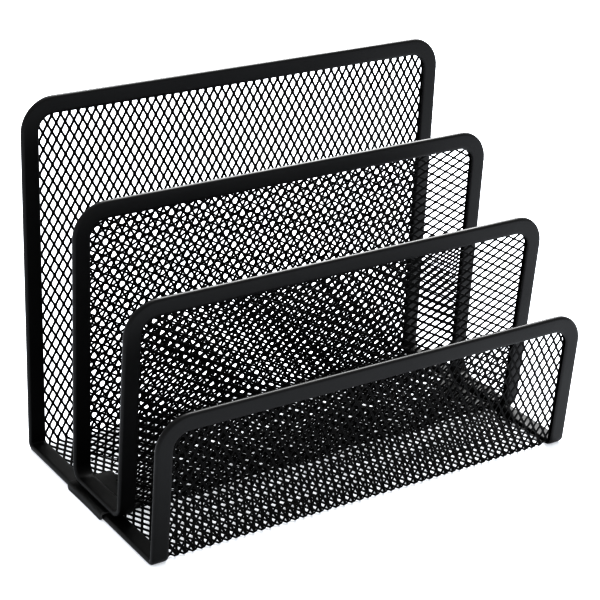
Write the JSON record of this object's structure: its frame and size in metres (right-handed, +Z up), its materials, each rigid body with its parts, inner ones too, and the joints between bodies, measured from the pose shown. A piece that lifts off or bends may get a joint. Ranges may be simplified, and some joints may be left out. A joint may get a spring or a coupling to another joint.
{
  "type": "desk organizer",
  "caption": "Free-standing mesh letter sorter: framed panels of falling height rise from a U-shaped tray and a U-shaped divider insert to form open slots.",
  "frame": {"origin": "bottom centre of the bounding box, on the surface that the organizer stands on", "axes": "+X to the right along the panels' width, +Y from the low front panel to the tall back panel, +Z up"},
  "size_m": [0.1768, 0.101, 0.135],
  "materials": {
    "rim_steel": "satin black powder coat on folded steel",
    "mesh_steel": "black powder coat on expanded steel mesh",
    "plate_steel": "satin black powder coat on sheet steel"
  },
  "bodies": {
    "root": {"back_frame": "rim_steel", "front_frame": "rim_steel", "base_rail_left": "rim_steel", "base_rail_right": "rim_steel", "back_mesh": "mesh_steel", "floor_mesh": "mesh_steel", "front_mesh": "mesh_steel", "tall_divider_frame": "rim_steel", "short_divider_frame": "rim_steel", "divider_rail_left": "rim_steel", "divider_rail_right": "rim_steel", "tall_divider_mesh": "mesh_steel", "divider_floor_mesh": "mesh_steel", "short_divider_mesh": "mesh_steel", "clip_left": "plate_steel", "clip_right": "plate_steel"}
  },
  "joints": []
}
